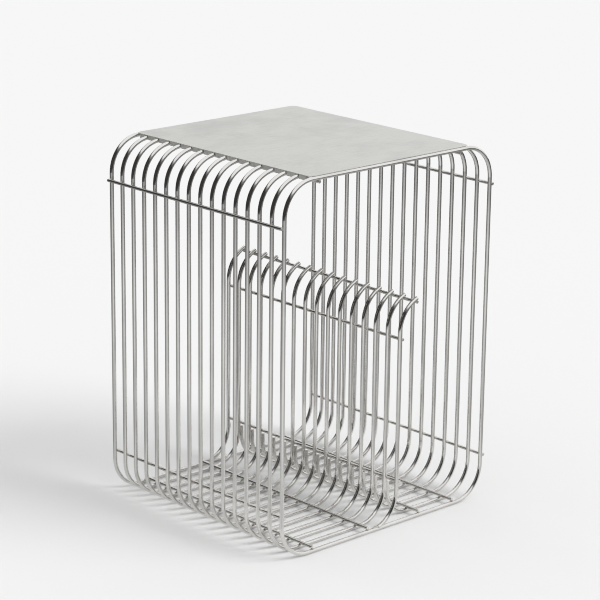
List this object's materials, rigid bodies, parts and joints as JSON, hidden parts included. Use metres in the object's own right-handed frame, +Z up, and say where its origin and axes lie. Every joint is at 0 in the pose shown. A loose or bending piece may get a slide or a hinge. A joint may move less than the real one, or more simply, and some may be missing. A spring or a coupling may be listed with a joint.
{
  "type": "magazine rack",
  "caption": "Open-fronted rack of bent steel wire rings with a sheet-metal top, and a hooked wire divider that parts magazines from books.",
  "frame": {"origin": "middle of the footprint, on the floor under the rack", "axes": "+Z up; +Y from the open front to the back, along the row of rings; +X to the right, across a ring"},
  "size_m": [0.3532, 0.32, 0.462],
  "materials": {
    "ring_wire": "polished stainless steel wire",
    "tie_rod": "polished stainless steel rod, cut ends bright",
    "top_sheet": "dull, faintly clouded stainless steel sheet"
  },
  "bodies": {
    "root": {"ring_front": "ring_wire", "ring_02": "ring_wire", "ring_03": "ring_wire", "ring_04": "ring_wire", "ring_05": "ring_wire", "ring_06": "ring_wire", "ring_07": "ring_wire", "ring_08": "ring_wire", "ring_09": "ring_wire", "ring_10": "ring_wire", "ring_11": "ring_wire", "ring_12": "ring_wire", "ring_13": "ring_wire", "ring_14": "ring_wire", "ring_15": "ring_wire", "ring_back": "ring_wire", "divider_wire_front": "ring_wire", "divider_wire_back": "ring_wire", "upper_left_rod": "tie_rod", "upper_right_rod": "tie_rod", "lower_left_rod": "tie_rod", "lower_right_rod": "tie_rod", "top_rod_left": "tie_rod", "top_rod_right": "tie_rod", "floor_rod_1": "tie_rod", "floor_rod_2": "tie_rod", "floor_rod_3": "tie_rod", "floor_rod_4": "tie_rod", "divider_low_rod": "tie_rod", "divider_hook_rod": "tie_rod", "divider_tip_rod": "tie_rod", "top_sheet": "top_sheet"}
  },
  "joints": []
}
